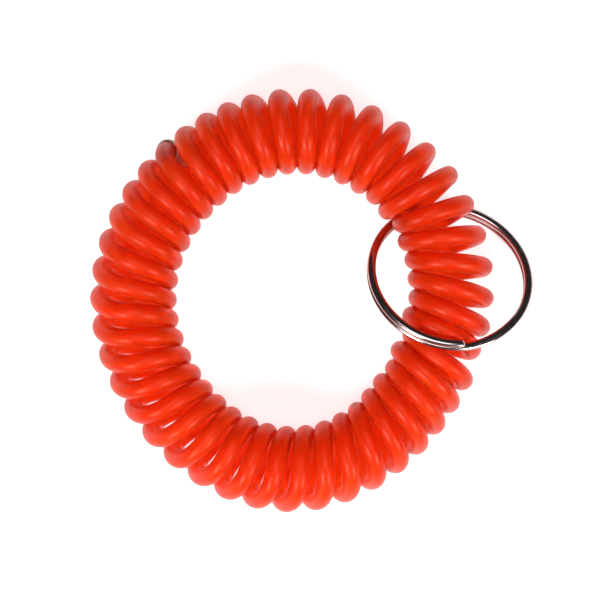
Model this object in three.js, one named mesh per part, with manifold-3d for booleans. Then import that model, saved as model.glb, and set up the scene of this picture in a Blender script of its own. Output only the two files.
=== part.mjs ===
// Spiral wrist coil with a split ring.
//
// A plastic cord is wound into a helix, and the helix is closed into a ring that goes round a wrist.
// The cord's two ends meet in a crimp sleeve. A two-layer metal split ring goes round the coil.
//
// Units are millimetres and +Z is up. The coil lies flat on z = 0, and the split ring leans through it.
// The origin is under the middle of the whole object's bounding box.

import * as THREE from 'three';
import { mergeVertices } from 'three/addons/utils/BufferGeometryUtils.js';
import Module from 'manifold-3d';

const wasm = await Module();
wasm.setup();

const radians = THREE.MathUtils.degToRad;
const { smoothstep } = THREE.MathUtils;
const UP = new THREE.Vector3(0, 0, 1);

// ---- Driving dimensions --------------------------------------------------------------------------

const CORD_DIAMETER = 3.2;
const COIL_OUTER_DIAMETER = 14.5; // across the helix, over the cord
const COIL_RING_RADIUS = 27.0; // from the middle of the wrist hole to the helix's own axis
const COIL_CENTRE = new THREE.Vector2(-3.28, 0.3);

// The soft coil lies a little out of round: each entry adds amount * cos(lobes * (angle - peak)).
const OUT_OF_ROUND = [
  { lobes: 2, amount: 0.94, peak: radians(79.6) },
  { lobes: 3, amount: 0.32, peak: radians(35.9) },
  { lobes: 4, amount: 0.24, peak: radians(1.3) },
];

// The coil rides over the split ring's lower edge, so it is raised there and falls away on both sides.
const COIL_LIFT = 2.0;
const LIFT_ANGLE = radians(10);
const LIFT_FLAT_REACH = radians(24);
const LIFT_END_REACH = radians(64);

// The crimp sleeve lies round the low outer side of one turn, along a short arc of the helix.
const JOIN_ANGLE = radians(130.4);
const JOIN_TURN_PITCH = radians(7.6);
const JOIN_LEAN = radians(0.7); // how far the turn's top stands ahead of its middle
const JOIN_SKEW = radians(0.56); // how far the turn's outer side slants across it
const JOIN_GAP = 0.3; // between the cord's two ends
const SLEEVE_OUTER_DIAMETER = 4.0;
const SLEEVE_WALL = 0.35;
const SLEEVE_START = radians(-62); // round the helix, 0 is its outermost point and 90 degrees its top
const SLEEVE_END = radians(-4);

const RING_OUTER_DIAMETER = 28.0;
const RING_WIRE_WIDTH = 1.45; // radially
const RING_LAYER_HEIGHT = 1.02;
const RING_LAYER_GAP = 0.1;
const RING_EDGE_ROUND = 0.3;
const RING_OFFSET = new THREE.Vector2(26.3, 3.8); // from the coil's middle
const RING_AXIS_ANGLE = radians(-15); // the horizontal line through the ring's centre that it leans about
const RING_TILT = radians(32);
const RING_FRONT_END = radians(-69); // where the wire starts, in the ring's own plane
const RING_LAYER_SWEEP = radians(311);
const RING_STEP_SWEEP = radians(49); // over which the wire drops from the front layer to the back one

// The split ring stands up about this line, beside and above its centre.
const HINGE_ASIDE = 1.2;
const HINGE_ABOVE = 0.85;

const CLEARANCE = 0.35;
const COIL_SIDES = 16;
const COIL_STEPS = 90;
const SLEEVE_SIDES = 12;
const SLEEVE_STEPS = 8;
const RING_STEPS = 112;
const GROOVE_SEGMENTS = 60;
const GROOVE_TILTS = [0, 3, 6, 9, 12].map(radians); // the ring's first few degrees, before it clears the coil
const AXIS_ARC_DIVISIONS = 720; // for even steps along the coil's axis
const MERGE_DISTANCE = 1e-4;

const CORD_RED = 0xd82a10;
const CRIMP_GREY = 0xb8b4ae;
const RING_NICKEL = 0xc9c4c2;

// ---- Dimensions worked out from those ------------------------------------------------------------

const COIL_TUBE_RADIUS = COIL_OUTER_DIAMETER / 2;
const HELIX_RADIUS = (COIL_OUTER_DIAMETER - CORD_DIAMETER) / 2;
const RING_RADIUS = (RING_OUTER_DIAMETER - RING_WIRE_WIDTH) / 2;
const RING_LAYER_Z = (RING_LAYER_HEIGHT + RING_LAYER_GAP) / 2;
const RING_HALF_HEIGHT = RING_LAYER_Z + RING_LAYER_HEIGHT / 2;
const RING_LOW_CORNER = RING_OUTER_DIAMETER / 2 - RING_EDGE_ROUND;
const RING_REACH_Z = RING_LOW_CORNER * Math.sin(RING_TILT) + RING_HALF_HEIGHT * Math.cos(RING_TILT);

// ---- The coil's axis ------------------------------------------------------------------------------

function coilRadius(angle) {
  let radius = COIL_RING_RADIUS;
  for (const { lobes, amount, peak } of OUT_OF_ROUND) {
    radius += amount * Math.cos(lobes * (angle - peak));
  }
  return radius;
}

function coilHeight(angle) {
  const away = Math.abs(Math.atan2(Math.sin(angle - LIFT_ANGLE), Math.cos(angle - LIFT_ANGLE)));
  const lift = COIL_LIFT * (1 - smoothstep(away, LIFT_FLAT_REACH, LIFT_END_REACH));
  return COIL_TUBE_RADIUS + lift;
}

// A point near the coil's axis: outward is horizontal, away from the wrist hole, and up is vertical.
function coilPoint(angle, outward, up, target) {
  const radius = coilRadius(angle) + outward;
  const x = COIL_CENTRE.x + radius * Math.cos(angle);
  const y = COIL_CENTRE.y + radius * Math.sin(angle);
  return target.set(x, y, coilHeight(angle) + up);
}

class CoilAxis extends THREE.Curve {
  constructor(start, end) {
    super();
    this.start = start;
    this.end = end;
    this.arcLengthDivisions = AXIS_ARC_DIVISIONS;
  }

  getPoint(t, target = new THREE.Vector3()) {
    return coilPoint(THREE.MathUtils.lerp(this.start, this.end, t), 0, 0, target);
  }

  // The section stays upright all the way round, so its flat underside stays level.
  computeFrenetFrames(segments) {
    const frames = { tangents: [], normals: [], binormals: [] };
    for (let segment = 0; segment <= segments; segment++) {
      const tangent = this.getTangentAt(segment / segments);
      const outward = new THREE.Vector3().crossVectors(tangent, UP).normalize();
      frames.tangents.push(tangent);
      frames.normals.push(new THREE.Vector3().crossVectors(outward, tangent));
      frames.binormals.push(outward);
    }
    return frames;
  }
}

// Where the cord is round the coil, at each point of the turn whose outermost point is at JOIN_ANGLE.
function joinTurnAngle(turn) {
  const slant = JOIN_LEAN * Math.sin(turn) + JOIN_SKEW * Math.sin(2 * turn);
  return JOIN_ANGLE + (JOIN_TURN_PITCH * turn) / (2 * Math.PI) + slant;
}

// The stretch of that turn between two of its points.
class JoinTurn extends THREE.Curve {
  constructor(start, end) {
    super();
    this.start = start;
    this.end = end;
  }

  getPoint(t, target = new THREE.Vector3()) {
    const turn = THREE.MathUtils.lerp(this.start, this.end, t);
    const angle = joinTurnAngle(turn);
    return coilPoint(angle, HELIX_RADIUS * Math.cos(turn), HELIX_RADIUS * Math.sin(turn), target);
  }
}

// ---- Sections -------------------------------------------------------------------------------------

// A many-sided section with a flat side at the bottom; apothem is the distance to each flat.
function polygonPoints(sides, apothem) {
  const radius = apothem / Math.cos(Math.PI / sides);
  const points = [];
  for (let side = 0; side < sides; side++) {
    const angle = ((side + 0.5) * 2 * Math.PI) / sides;
    points.push(new THREE.Vector2(radius * Math.cos(angle), radius * Math.sin(angle)));
  }
  return points;
}

function polygonShape(sides, apothem) {
  return new THREE.Shape(polygonPoints(sides, apothem));
}

// A rectangle with its corners cut off.
function flatWireShape(height, width, corner) {
  const x = height / 2;
  const y = width / 2;
  return new THREE.Shape([
    new THREE.Vector2(x, corner - y),
    new THREE.Vector2(x, y - corner),
    new THREE.Vector2(x - corner, y),
    new THREE.Vector2(corner - x, y),
    new THREE.Vector2(-x, y - corner),
    new THREE.Vector2(-x, corner - y),
    new THREE.Vector2(corner - x, -y),
    new THREE.Vector2(x - corner, -y),
  ]);
}

// ---- Solids ---------------------------------------------------------------------------------------

function toSolid(geometry) {
  const bare = geometry.clone();
  bare.deleteAttribute('normal');
  bare.deleteAttribute('uv');
  const merged = mergeVertices(bare, MERGE_DISTANCE);
  const vertProperties = new Float32Array(merged.attributes.position.array);
  const triVerts = new Uint32Array(merged.index.array);
  return new wasm.Manifold(new wasm.Mesh({ numProp: 3, vertProperties, triVerts }));
}

function toGeometry(solid) {
  const mesh = solid.getMesh();
  const geometry = new THREE.BufferGeometry();
  geometry.setAttribute('position', new THREE.BufferAttribute(mesh.vertProperties, 3));
  geometry.setIndex(new THREE.BufferAttribute(mesh.triVerts, 1));
  geometry.computeVertexNormals();
  return geometry;
}

// ---- Split ring -----------------------------------------------------------------------------------

// The ring's own frame: x along the line that it leans about, z out of its front face.
function ringPlacement(extraTilt) {
  const leanLine = new THREE.Vector3(Math.cos(RING_AXIS_ANGLE), Math.sin(RING_AXIS_ANGLE), 0);
  const aside = new THREE.Vector3().crossVectors(UP, leanLine);
  const centre = new THREE.Vector3(
    COIL_CENTRE.x + RING_OFFSET.x,
    COIL_CENTRE.y + RING_OFFSET.y,
    RING_REACH_Z,
  );
  const hinge = centre.clone().addScaledVector(aside, HINGE_ASIDE).addScaledVector(UP, HINGE_ABOVE);
  const frontTilt = new THREE.Matrix4().makeRotationAxis(leanLine, -RING_TILT);
  const axes = new THREE.Matrix4().makeBasis(leanLine, aside, UP);
  const rest = new THREE.Matrix4().setPosition(centre).multiply(frontTilt).multiply(axes);
  const swing = new THREE.Matrix4().setPosition(hinge);
  swing.multiply(new THREE.Matrix4().makeRotationAxis(leanLine, -extraTilt));
  swing.multiply(new THREE.Matrix4().setPosition(hinge.clone().negate()));
  return swing.multiply(rest);
}

class SplitRingWire extends THREE.Curve {
  getPoint(t, target = new THREE.Vector3()) {
    const sweep = t * (2 * RING_LAYER_SWEEP + RING_STEP_SWEEP);
    const angle = RING_FRONT_END - sweep;
    const drop = smoothstep(sweep, RING_LAYER_SWEEP, RING_LAYER_SWEEP + RING_STEP_SWEEP);
    const height = RING_LAYER_Z * (1 - 2 * drop);
    return target.set(RING_RADIUS * Math.cos(angle), RING_RADIUS * Math.sin(angle), height);
  }
}

function splitRingGeometry() {
  const section = flatWireShape(RING_LAYER_HEIGHT, RING_WIRE_WIDTH, RING_EDGE_ROUND);
  const geometry = new THREE.ExtrudeGeometry(section, { steps: RING_STEPS, extrudePath: new SplitRingWire() });
  return geometry.applyMatrix4(ringPlacement(0));
}

// The space that the ring needs, with its clearance, when it has turned by extraTilt.
function ringSpace(extraTilt) {
  const inner = RING_OUTER_DIAMETER / 2 - RING_WIRE_WIDTH - CLEARANCE;
  const outer = RING_OUTER_DIAMETER / 2 + CLEARANCE;
  const reach = RING_HALF_HEIGHT + CLEARANCE;
  const profile = [
    new THREE.Vector2(inner, -reach),
    new THREE.Vector2(outer, -reach),
    new THREE.Vector2(outer, reach),
    new THREE.Vector2(inner, reach),
    new THREE.Vector2(inner, -reach),
  ];
  const band = new THREE.LatheGeometry(profile, GROOVE_SEGMENTS).rotateX(Math.PI / 2);
  return toSolid(band.applyMatrix4(ringPlacement(extraTilt)));
}

// ---- Crimp sleeve ---------------------------------------------------------------------------------

function crimpSleeveGeometry() {
  const section = polygonShape(SLEEVE_SIDES, SLEEVE_OUTER_DIAMETER / 2);
  section.holes.push(new THREE.Path(polygonPoints(SLEEVE_SIDES, SLEEVE_OUTER_DIAMETER / 2 - SLEEVE_WALL)));
  const extrudePath = new JoinTurn(SLEEVE_START, SLEEVE_END);
  return new THREE.ExtrudeGeometry(section, { steps: SLEEVE_STEPS, extrudePath });
}

function sleevePocket() {
  const endSpace = CLEARANCE / HELIX_RADIUS;
  const section = polygonShape(SLEEVE_SIDES, SLEEVE_OUTER_DIAMETER / 2 + CLEARANCE);
  const extrudePath = new JoinTurn(SLEEVE_START - endSpace, SLEEVE_END + endSpace);
  return toSolid(new THREE.ExtrudeGeometry(section, { steps: SLEEVE_STEPS, extrudePath }));
}

// ---- Coiled cord ----------------------------------------------------------------------------------

// One plain tube of the helix's outer diameter, open by a small gap where the cord's ends meet.
function coilCordGeometry() {
  const middle = joinTurnAngle((SLEEVE_START + SLEEVE_END) / 2);
  const halfGap = JOIN_GAP / 2 / COIL_RING_RADIUS;
  const extrudePath = new CoilAxis(middle + halfGap, middle - halfGap + 2 * Math.PI);
  const section = polygonShape(COIL_SIDES, COIL_TUBE_RADIUS);
  let tube = toSolid(new THREE.ExtrudeGeometry(section, { steps: COIL_STEPS, extrudePath }));
  tube = tube.subtract(sleevePocket());
  for (const extraTilt of GROOVE_TILTS) {
    tube = tube.subtract(ringSpace(extraTilt));
  }
  return toGeometry(tube);
}

// ---- The object -----------------------------------------------------------------------------------

function part(name, geometry, color, roughness, metalness) {
  const material = new THREE.MeshStandardMaterial({ color, roughness, metalness });
  const mesh = new THREE.Mesh(geometry, material);
  mesh.name = name;
  return mesh;
}

const wristCoil = new THREE.Group();
wristCoil.add(part('coil_cord', coilCordGeometry(), CORD_RED, 0.35, 0.0));
wristCoil.add(part('crimp_sleeve', crimpSleeveGeometry(), CRIMP_GREY, 0.4, 1.0));
wristCoil.add(part('split_ring', splitRingGeometry(), RING_NICKEL, 0.2, 1.0));

export default wristCoil;
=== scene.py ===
"""The visual model of the spiral wrist coil: the wound cord, its crimp sleeve and the split ring.

Shapes are worked out in millimetres and turned into metres when a mesh is made.
"""

import math

import bmesh
import bpy
import numpy as np
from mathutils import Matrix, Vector


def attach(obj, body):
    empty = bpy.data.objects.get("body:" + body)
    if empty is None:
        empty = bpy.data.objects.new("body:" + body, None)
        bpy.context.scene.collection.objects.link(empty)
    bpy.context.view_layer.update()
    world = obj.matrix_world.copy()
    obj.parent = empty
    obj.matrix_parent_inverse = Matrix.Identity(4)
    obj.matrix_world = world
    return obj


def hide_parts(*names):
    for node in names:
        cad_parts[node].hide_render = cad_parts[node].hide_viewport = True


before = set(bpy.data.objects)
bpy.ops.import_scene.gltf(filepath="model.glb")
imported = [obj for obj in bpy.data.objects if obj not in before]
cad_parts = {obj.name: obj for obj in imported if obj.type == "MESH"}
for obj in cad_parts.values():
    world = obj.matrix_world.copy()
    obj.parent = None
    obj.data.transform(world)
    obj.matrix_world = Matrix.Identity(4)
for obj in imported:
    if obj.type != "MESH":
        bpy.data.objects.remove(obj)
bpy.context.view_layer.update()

MM = 0.001
UP = np.array([0.0, 0.0, 1.0])

# ---- Sizes, in millimetres and degrees, as in the CAD model --------------------------------------

CORD_DIAMETER = 3.2
COIL_OUTER_DIAMETER = 14.5
COIL_RING_RADIUS = 27.0
COIL_CENTRE = np.array([-3.28, 0.3])
OUT_OF_ROUND = [(2, 0.94, 79.6), (3, 0.32, 35.9), (4, 0.24, 1.3)]  # lobes, amount, peak
COIL_LIFT = 2.0
LIFT_ANGLE = 10.0
LIFT_FLAT_REACH = 24.0
LIFT_END_REACH = 64.0

TURNS = 42
# The turns crowd together in places: how far ahead of even spacing they stand, every 30 degrees.
OUTER_LEADS = [0, 3.25, 6.25, 7.5, 3, -0.25, -0.5, 0.5, 2.25, 2.5, 2.5, 0.75]
INNER_LEADS = [4, 4.25, 3.5, 1.5, 1.25, 3, 5, 6.75, 7, 6.5, 4.5, 4.5]
LOOP_LEAN = 0.7  # how far the top of each loop stands ahead of its middle
LEAN_AT_RING = -0.6
RING_ZONE_ANGLE = 12.0
RING_ZONE_FLAT = 20.0
RING_ZONE_END = 50.0
SKEW_MEAN = 0.5  # how far each loop's outer and inner sides slant across its plane
SKEW_SWING = 0.7
SKEW_PEAK = 215

JOIN_TURN = 15  # the cord's ends meet on this turn
SLEEVE_OUTER_DIAMETER = 4.0
SLEEVE_START = -62.0
SLEEVE_END = -4.0
JOIN_GAP = 0.3

RING_OUTER_DIAMETER = 28.0
RING_WIRE_WIDTH = 1.45
RING_LAYER_HEIGHT = 1.02
RING_LAYER_GAP = 0.1
RING_EDGE_ROUND = 0.3  # of the CAD wire's edges; it sets how high the ring lies
RING_OFFSET = np.array([26.3, 3.8])
RING_AXIS_ANGLE = -15.0
RING_TILT = 32.0
RING_FRONT_END = -69.0
RING_LAYER_SWEEP = 311.0
RING_STEP_SWEEP = 49.0

CORD_RADIUS = CORD_DIAMETER / 2
COIL_TUBE_RADIUS = COIL_OUTER_DIAMETER / 2
HELIX_RADIUS = COIL_TUBE_RADIUS - CORD_RADIUS
RING_RADIUS = (RING_OUTER_DIAMETER - RING_WIRE_WIDTH) / 2
RING_LAYER_Z = (RING_LAYER_HEIGHT + RING_LAYER_GAP) / 2
RING_HALF_HEIGHT = RING_LAYER_Z + RING_LAYER_HEIGHT / 2

# ---- How fine the meshes are ---------------------------------------------------------------------

STEPS_PER_TURN = 48
CORD_SIDES = 24
RING_STEPS = 420
RING_SECTION_STEPS = 28
SLEEVE_SIDES = 40
SLEEVE_STEPS = 44
TINY = 1e-6  # as good as nothing

# ---- The wire's and the sleeve's details ---------------------------------------------------------

RING_SQUARENESS = 2.3  # 2 is an ellipse, and more is squarer
RING_END_BEVEL = 0.12
RING_END_STEPS = 3

SLEEVE_DENTS = [0.24, 0.5, 0.76]  # along the sleeve
DENT_DEPTH = 0.2
DENT_WIDTH = 0.07
SLEEVE_LIP = 0.1
SLEEVE_LIP_STEPS = 3
SLEEVE_FIT = 0.03  # between the sleeve's bore and the cord
JOIN_FIT_STEPS = 6  # of the loop's steps, each side of the join, that the sleeve's own curve is fitted to
JOIN_FIT_DEGREE = 5

# ---- How the turns settle ------------------------------------------------------------------------

RING_SPACE = 0.1  # left between the cord and the ring's wire
TURN_SPACE = 0.04
SETTLE_ROUNDS = 400
PUSH_SHARE = 0.5
SMOOTH_SHARE = 0.25  # taken from each neighbour in every round
NEXT_TURN_REACH = 0.45  # of a turn, each side of the matching point on the next turn

# ---- Looks: tones are two colours, and gloss is the lowest and highest roughness -----------------

CORD_TONES = [(0.96, 0.042, 0.002), (0.99, 0.070, 0.004)]
CORD_GLOSS = (0.30, 0.42)
CORD_HIGHLIGHT = (1.0, 0.52, 0.40, 1)
CRIMP_TONES = [(0.42, 0.40, 0.37), (0.62, 0.60, 0.57)]
CRIMP_GLOSS = (0.28, 0.5)
# The ring's two tones are tinted pink so that its reflections come out warm: a painted reflection of the red
# cord, laid over a random change of tone.
RING_TONES_WITH_PAINTED_REFLECTION = [(0.48, 0.38, 0.37), (0.60, 0.50, 0.49)]
RING_GLOSS = (0.12, 0.24)
NOISE_LOW = 0.3  # the part of the noise's range that the tones and gloss are spread over
NOISE_HIGH = 0.7

# ---- Sizes and strengths of the stage ------------------------------------------------------------

FLOOR_HALF = 2500.0
FLOOR_GREY = (0.8, 0.8, 0.8, 1)
FLOOR_GLOW = 0.6
WHITE = (1, 1, 1, 1)
WORLD_STRENGTH = 0.03
LIGHT_DISTANCE = 700.0
# azimuth, tilt from upright, size, watts
LIGHTS = [(227, 50, 300, 3.8), (316, 52, 260, 2.9), (90, 8, 500, 1.9)]

# ---- Camera: straight down, with a long lens -----------------------------------------------------

VIEW_OFFSET = np.array([1.35, -0.23])
VIEW_CENTRE = COIL_CENTRE + VIEW_OFFSET
VIEW_WIDTH = 100.0
LENS = 150.0
SENSOR = 36.0
MIDDLE_HEIGHT = 8.0


def add_camera():
    data = bpy.data.cameras.new("camera")
    data.lens = LENS
    data.sensor_width = SENSOR
    distance = VIEW_WIDTH * LENS / SENSOR
    camera = bpy.data.objects.new("camera", data)
    camera.location = (VIEW_CENTRE[0] * MM, VIEW_CENTRE[1] * MM, (MIDDLE_HEIGHT + distance) * MM)
    bpy.context.scene.collection.objects.link(camera)
    bpy.context.scene.camera = camera


# ---- The coil's axis -----------------------------------------------------------------------------


def smoothstep(value, low, high):
    share = np.clip((value - low) / (high - low), 0, 1)
    return share * share * (3 - 2 * share)


def away_from(angle, middle):
    """How far angle is from middle, in degrees, the short way round."""
    return np.abs((np.asarray(angle) - middle + 180) % 360 - 180)


def lead(leads, angle):
    """A smooth closed curve through the leads, which stand at even steps round the coil."""
    place = np.asarray(angle) / 360 * len(leads)
    step = np.floor(place).astype(int)
    share = place - step
    before, here, after, later = (np.take(leads, step + offset, mode="wrap") for offset in (-1, 0, 1, 2))
    rise_here, rise_after = (after - before) / 2, (later - here) / 2
    blend = share * share * (3 - 2 * share)
    bend = share * (1 - share) * ((1 - share) * rise_here - share * rise_after)
    return here + (after - here) * blend + bend


def coil_radius(angle):
    bumps = (amount * np.cos(np.radians(lobes * (angle - peak))) for lobes, amount, peak in OUT_OF_ROUND)
    return COIL_RING_RADIUS + sum(bumps)


def coil_height(angle):
    away = away_from(angle, LIFT_ANGLE)
    return COIL_TUBE_RADIUS + COIL_LIFT * (1 - smoothstep(away, LIFT_FLAT_REACH, LIFT_END_REACH))


def helix_point(turn):
    """The cord's centre at each value of turn: whole numbers are the outermost points of the loops."""
    minor = np.radians(360 * turn)
    even_angle = 360 * turn / TURNS
    outer = lead(OUTER_LEADS, even_angle)
    inner = lead(INNER_LEADS, even_angle)
    share_out = (1 + np.cos(minor)) / 2
    near_ring = 1 - smoothstep(away_from(even_angle, RING_ZONE_ANGLE), RING_ZONE_FLAT, RING_ZONE_END)
    lean = LOOP_LEAN + (LEAN_AT_RING - LOOP_LEAN) * near_ring
    angle = even_angle + outer * share_out + inner * (1 - share_out)
    skew = SKEW_MEAN + SKEW_SWING * np.cos(np.radians(even_angle - SKEW_PEAK))
    angle += lean * np.sin(minor) + skew * np.sin(2 * minor)
    radius = coil_radius(angle) + HELIX_RADIUS * np.cos(minor)
    x = COIL_CENTRE[0] + radius * np.cos(np.radians(angle))
    y = COIL_CENTRE[1] + radius * np.sin(np.radians(angle))
    z = coil_height(angle) + HELIX_RADIUS * np.sin(minor)
    return np.stack([x, y, z], axis=-1)


# ---- The split ring's own frame ------------------------------------------------------------------


def ring_frame():
    """The ring's centre, and its axes as columns: the lean line, across it in the ring, and the normal."""
    axis, tilt = math.radians(RING_AXIS_ANGLE), math.radians(RING_TILT)
    lean_line = np.array([math.cos(axis), math.sin(axis), 0])
    aside = np.cross(UP, lean_line)
    across = aside * math.cos(tilt) - UP * math.sin(tilt)
    normal = aside * math.sin(tilt) + UP * math.cos(tilt)
    low_corner = RING_OUTER_DIAMETER / 2 - RING_EDGE_ROUND
    height = low_corner * math.sin(tilt) + RING_HALF_HEIGHT * math.cos(tilt)
    centre = np.array([*(COIL_CENTRE + RING_OFFSET), height])
    return centre, np.stack([lean_line, across, normal], axis=1)


RING_CENTRE, RING_AXES = ring_frame()

# ---- The turns settle round the ring -------------------------------------------------------------


def ring_push(points):
    """How far each point must move to be clear of the ring's wire, which is taken as a rectangular band."""
    local = (points - RING_CENTRE) @ RING_AXES
    flat = np.hypot(local[:, 0], local[:, 1])
    radial, height = flat - RING_RADIUS, local[:, 2]
    side_gap = np.abs(radial) - RING_WIRE_WIDTH / 2
    end_gap = np.abs(height) - RING_HALF_HEIGHT
    outside_side, outside_end = np.maximum(side_gap, 0), np.maximum(end_gap, 0)
    gap = np.hypot(outside_side, outside_end)
    inside = gap < TINY
    sideways = np.where(inside, side_gap > end_gap, outside_side) * np.sign(radial)
    endways = np.where(inside, side_gap <= end_gap, outside_end) * np.sign(height)
    length = np.maximum(np.hypot(sideways, endways), TINY)
    depth = np.where(inside, np.maximum(side_gap, end_gap), gap)
    need = np.maximum(CORD_RADIUS + RING_SPACE - depth, 0) / length
    unit = local[:, :2] / np.maximum(flat, TINY)[:, None]
    move = np.column_stack([unit * (sideways * need)[:, None], endways * need])
    return move @ RING_AXES.T


def turn_push(points):
    """Half of the move that clears each point from the turns beside it; the points are a closed loop."""
    push = np.zeros_like(points)
    crowd = np.zeros(len(points))
    reach = int(NEXT_TURN_REACH * STEPS_PER_TURN)
    for step in range(STEPS_PER_TURN - reach, STEPS_PER_TURN + reach + 1):
        apart = np.roll(points, -step, axis=0) - points
        distance = np.linalg.norm(apart, axis=1)
        short = np.maximum(CORD_DIAMETER + TURN_SPACE - distance, 0)
        move = apart * (short / 2 / distance)[:, None]
        push += np.roll(move, step, axis=0) - move
        crowd += np.roll(short > 0, step) + (short > 0)
    return push / np.maximum(crowd, 1)[:, None]


def settle(points):
    """Moves the turns off the split ring's wire and off each other, keeping the cord smooth."""
    shift = np.zeros_like(points)
    for _ in range(SETTLE_ROUNDS):
        now = points + shift
        push = ring_push(now) + turn_push(now)
        push[:, 2] += np.maximum(CORD_RADIUS - now[:, 2], 0)
        shift += PUSH_SHARE * push
        beside = np.roll(shift, 1, axis=0) + np.roll(shift, -1, axis=0)
        shift = (1 - 2 * SMOOTH_SHARE) * shift + SMOOTH_SHARE * beside
    return points + shift


# ---- Mesh making ---------------------------------------------------------------------------------


def new_object(name, vertices, faces, smooth=True):
    mesh = bpy.data.meshes.new(name)
    mesh.from_pydata([tuple(v) for v in np.asarray(vertices) * MM], [], faces)
    mesh.validate()
    edit = bmesh.new()
    edit.from_mesh(mesh)
    bmesh.ops.recalc_face_normals(edit, faces=edit.faces)
    edit.to_mesh(mesh)
    edit.free()
    mesh.polygons.foreach_set("use_smooth", [smooth] * len(mesh.polygons))
    obj = bpy.data.objects.new(name, mesh)
    bpy.context.scene.collection.objects.link(obj)
    return obj


def turning_frames(points):
    """Tangents, and normals that turn as little as they can along the path."""
    tangents = np.gradient(points, axis=0)
    tangents /= np.linalg.norm(tangents, axis=1)[:, None]
    normal = np.cross(tangents[0], UP)
    normals = []
    for tangent in tangents:
        normal = normal - tangent * normal.dot(tangent)
        normal = normal / np.linalg.norm(normal)
        normals.append(normal)
    normals = np.array(normals)
    return tangents, normals, np.cross(tangents, normals)


def grid_faces(rings, sides, closed_ends=True):
    faces = []
    for ring in range(rings - 1):
        for side in range(sides):
            here, there = ring * sides, (ring + 1) * sides
            following = (side + 1) % sides
            faces.append((here + side, here + following, there + following, there + side))
    if closed_ends:
        faces.append(tuple(reversed(range(sides))))
        faces.append(tuple(range((rings - 1) * sides, rings * sides)))
    return faces


def wound_cord(points):
    """A round tube along the points, with flat ends that the sleeve hides."""
    _, normals, across = turning_frames(points)
    around = np.linspace(0, 2 * math.pi, CORD_SIDES, endpoint=False)[None, :, None]
    circle = CORD_RADIUS * (normals[:, None, :] * np.cos(around) + across[:, None, :] * np.sin(around))
    vertices = (points[:, None, :] + circle).reshape(-1, 3)
    return new_object("wound_cord", vertices, grid_faces(len(points), CORD_SIDES))


def wire_section(width, height, squareness):
    """Section points of a rolled flat wire: an ellipse pushed out towards its corners."""
    around = np.linspace(0, 2 * math.pi, RING_SECTION_STEPS, endpoint=False)
    x = np.sign(np.cos(around)) * np.abs(np.cos(around)) ** (2 / squareness)
    y = np.sign(np.sin(around)) * np.abs(np.sin(around)) ** (2 / squareness)
    return np.stack([x * width / 2, y * height / 2], axis=1)


def split_ring_mesh():
    """The flat wire, two turns and a step between them, in the ring's own frame and then in place."""
    whole = 2 * RING_LAYER_SWEEP + RING_STEP_SWEEP
    sweep = np.linspace(0, whole, RING_STEPS)
    drop = smoothstep(sweep, RING_LAYER_SWEEP, RING_LAYER_SWEEP + RING_STEP_SWEEP)
    height = RING_LAYER_Z * (1 - 2 * drop)
    angle = np.radians(RING_FRONT_END - sweep)
    section = wire_section(RING_WIRE_WIDTH, RING_LAYER_HEIGHT, RING_SQUARENESS)
    along = np.radians(sweep) * RING_RADIUS
    from_end = np.minimum(along, along[-1] - along)
    bevel = RING_END_BEVEL * np.clip(1 - from_end / (RING_END_STEPS * along[1]), 0, 1) ** 2
    rings = []
    for at, up, cut in zip(angle, height, bevel):
        shrink = 1 - 2 * cut / np.array([RING_WIRE_WIDTH, RING_LAYER_HEIGHT])
        local = section * shrink
        radius = RING_RADIUS + local[:, 0]
        rings.append(np.column_stack([radius * math.cos(at), radius * math.sin(at), up + local[:, 1]]))
    vertices = np.concatenate(rings) @ RING_AXES.T + RING_CENTRE
    return new_object("split_ring_wire", vertices, grid_faces(len(rings), len(section)))


def crimp_sleeve_mesh(loop):
    """A thin sleeve pressed on to the cord in three places, with rounded lips; loop starts at its middle."""
    reach = (SLEEVE_END - SLEEVE_START) / 2 / 360 * STEPS_PER_TURN
    steps = np.arange(-JOIN_FIT_STEPS, JOIN_FIT_STEPS + 1)
    curve = np.polyfit(steps, loop[steps], JOIN_FIT_DEGREE)
    along = np.linspace(-reach, reach, SLEEVE_STEPS)
    points = np.stack([np.polyval(axis, along) for axis in curve.T], axis=1)
    _, normals, across = turning_frames(points)
    share = np.linspace(0, 1, SLEEVE_STEPS)
    dents = sum(np.exp(-(((share - middle) / DENT_WIDTH) ** 2)) for middle in SLEEVE_DENTS)
    lip = SLEEVE_LIP * np.clip(1 - np.minimum(share, 1 - share) * SLEEVE_STEPS / SLEEVE_LIP_STEPS, 0, 1) ** 2
    outer = SLEEVE_OUTER_DIAMETER / 2 - DENT_DEPTH * dents - lip
    inner = np.full(SLEEVE_STEPS, CORD_RADIUS + SLEEVE_FIT)
    order = list(range(SLEEVE_STEPS)) + list(range(SLEEVE_STEPS - 1, -1, -1))
    radii = np.concatenate([outer, inner[::-1]])
    around = np.linspace(0, 2 * math.pi, SLEEVE_SIDES, endpoint=False)
    rings = []
    for index, radius in zip(order, radii):
        spoke = normals[index] * np.cos(around)[:, None] + across[index] * np.sin(around)[:, None]
        rings.append(points[index] + radius * spoke)
    faces = grid_faces(len(rings), SLEEVE_SIDES, closed_ends=False)
    last = (len(rings) - 1) * SLEEVE_SIDES
    for side in range(SLEEVE_SIDES):
        following = (side + 1) % SLEEVE_SIDES
        faces.append((last + side, last + following, following, side))
    return new_object("crimp", np.concatenate(rings), faces)


# ---- Materials -----------------------------------------------------------------------------------


def new_material(name):
    material = bpy.data.materials.new(name)
    material.use_nodes = True
    nodes, links = material.node_tree.nodes, material.node_tree.links
    return material, nodes, links, nodes["Principled BSDF"]


def noise(nodes, links, scale, detail=3.0, roughness=0.55):
    place = nodes.new("ShaderNodeTexCoord")
    texture = nodes.new("ShaderNodeTexNoise")
    texture.inputs["Scale"].default_value = scale
    texture.inputs["Detail"].default_value = detail
    texture.inputs["Roughness"].default_value = roughness
    links.new(place.outputs["Object"], texture.inputs["Vector"])
    return texture.outputs["Fac"]


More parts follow.
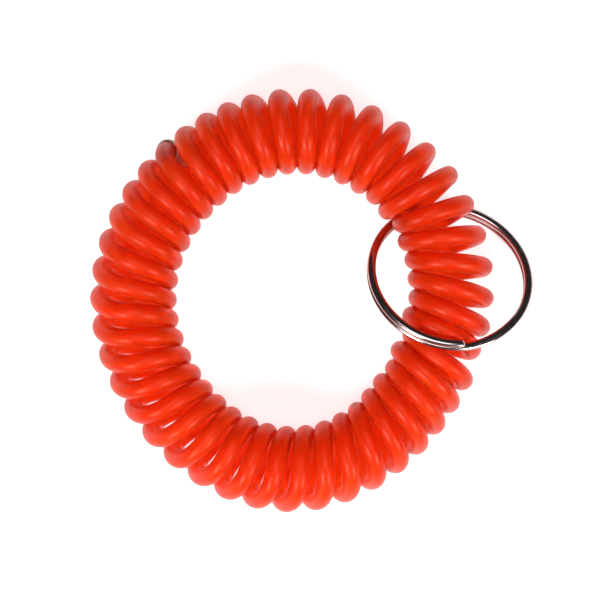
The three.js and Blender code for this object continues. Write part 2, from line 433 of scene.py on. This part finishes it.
def remap(nodes, links, value, low_high):
    change = nodes.new("ShaderNodeMapRange")
    change.inputs["From Min"].default_value = NOISE_LOW
    change.inputs["From Max"].default_value = NOISE_HIGH
    change.inputs["To Min"].default_value, change.inputs["To Max"].default_value = low_high
    links.new(value, change.inputs["Value"])
    return change.outputs["Result"]


def two_colours(nodes, links, value, tones):
    ramp = nodes.new("ShaderNodeValToRGB")
    for element, position, tone in zip(ramp.color_ramp.elements, (NOISE_LOW, NOISE_HIGH), tones):
        element.position = position
        element.color = (*tone, 1)
    links.new(value, ramp.inputs["Fac"])
    return ramp.outputs["Color"]


def bump(nodes, links, value, strength, distance):
    node = nodes.new("ShaderNodeBump")
    node.inputs["Strength"].default_value = strength
    node.inputs["Distance"].default_value = distance
    links.new(value, node.inputs["Height"])
    return node.outputs["Normal"]


def cord_material():
    """Translucent red-orange plastic with a soft gloss and slight changes of tone along the cord."""
    material, nodes, links, shader = new_material("translucent_red_plastic")
    tone = noise(nodes, links, scale=90)
    links.new(two_colours(nodes, links, tone, CORD_TONES), shader.inputs["Base Color"])
    gloss = noise(nodes, links, scale=700, detail=4)
    links.new(remap(nodes, links, gloss, CORD_GLOSS), shader.inputs["Roughness"])
    links.new(bump(nodes, links, gloss, strength=0.1, distance=0.00003), shader.inputs["Normal"])
    shader.inputs["IOR"].default_value = 1.4
    shader.inputs["Specular IOR Level"].default_value = 0.38
    shader.inputs["Specular Tint"].default_value = CORD_HIGHLIGHT
    shader.inputs["Transmission Weight"].default_value = 0.62
    shader.inputs["Subsurface Weight"].default_value = 0.6
    shader.inputs["Subsurface Radius"].default_value = (1.0, 0.15, 0.05)
    shader.inputs["Subsurface Scale"].default_value = 0.004
    return material


def metal_material(name, tones, gloss):
    """Plated metal with slight changes of tone and small worn patches in its gloss."""
    material, nodes, links, shader = new_material(name)
    tone = noise(nodes, links, scale=260)
    links.new(two_colours(nodes, links, tone, tones), shader.inputs["Base Color"])
    wear = noise(nodes, links, scale=1500, detail=5)
    links.new(remap(nodes, links, wear, gloss), shader.inputs["Roughness"])
    links.new(bump(nodes, links, wear, strength=0.08, distance=0.00005), shader.inputs["Normal"])
    shader.inputs["Metallic"].default_value = 1.0
    return material


def floor_material():
    """A pale floor with a faint even glow, which softens the shadows as an overexposed backdrop does."""
    material, _, _, shader = new_material("pale_floor")
    shader.inputs["Base Color"].default_value = FLOOR_GREY
    shader.inputs["Roughness"].default_value = 0.9
    shader.inputs["Emission Color"].default_value = WHITE
    shader.inputs["Emission Strength"].default_value = FLOOR_GLOW
    return material


# ---- Stage: floor and light ----------------------------------------------------------------------


def add_floor():
    h = FLOOR_HALF
    corners = [(-h, -h, 0), (h, -h, 0), (h, h, 0), (-h, h, 0)]
    floor = new_object("floor", corners, [(0, 1, 2, 3)], smooth=False)
    floor.data.materials.append(floor_material())


def add_lights():
    world = bpy.data.worlds.new("studio")
    world.use_nodes = True
    world.node_tree.nodes["Background"].inputs["Color"].default_value = WHITE
    world.node_tree.nodes["Background"].inputs["Strength"].default_value = WORLD_STRENGTH
    bpy.context.scene.world = world
    for azimuth, tilt, size, power in LIGHTS:
        flat = math.sin(math.radians(tilt))
        direction = Vector((
            flat * math.cos(math.radians(azimuth)),
            flat * math.sin(math.radians(azimuth)),
            math.cos(math.radians(tilt)),
        ))
        data = bpy.data.lights.new(f"softbox_{azimuth}", "AREA")
        data.shape = "DISK"
        data.size = size * MM
        data.energy = power
        light = bpy.data.objects.new(f"softbox_{azimuth}", data)
        light.location = direction * LIGHT_DISTANCE * MM
        light.rotation_euler = direction.to_track_quat("Z", "Y").to_euler()
        bpy.context.scene.collection.objects.link(light)


# ---- Putting it together -------------------------------------------------------------------------

add_camera()

join = JOIN_TURN + (SLEEVE_START + SLEEVE_END) / 2 / 360  # in turns, the sleeve's middle
loop = settle(helix_point(join + np.arange(TURNS * STEPS_PER_TURN) / STEPS_PER_TURN))
path = np.concatenate([loop, loop[:1]])
for end, inner in ((0, 1), (-1, -2)):
    inward = path[inner] - path[end]
    path[end] += inward / np.linalg.norm(inward) * JOIN_GAP / 2

sleeve = crimp_sleeve_mesh(loop)
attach(sleeve, "coil")
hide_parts("crimp_sleeve")

cord = wound_cord(path)
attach(cord, "coil")
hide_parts("coil_cord")

ring = split_ring_mesh()
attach(ring, "ring")
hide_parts("split_ring")

cord.data.materials.append(cord_material())
sleeve.data.materials.append(metal_material("crimp_metal", CRIMP_TONES, CRIMP_GLOSS))
# The ring's pink tint is a painted reflection of the red cord.
ring.data.materials.append(metal_material("ring_metal", RING_TONES_WITH_PAINTED_REFLECTION, RING_GLOSS))

add_floor()
add_lights()
bpy.context.scene.view_settings.view_transform = "Standard"
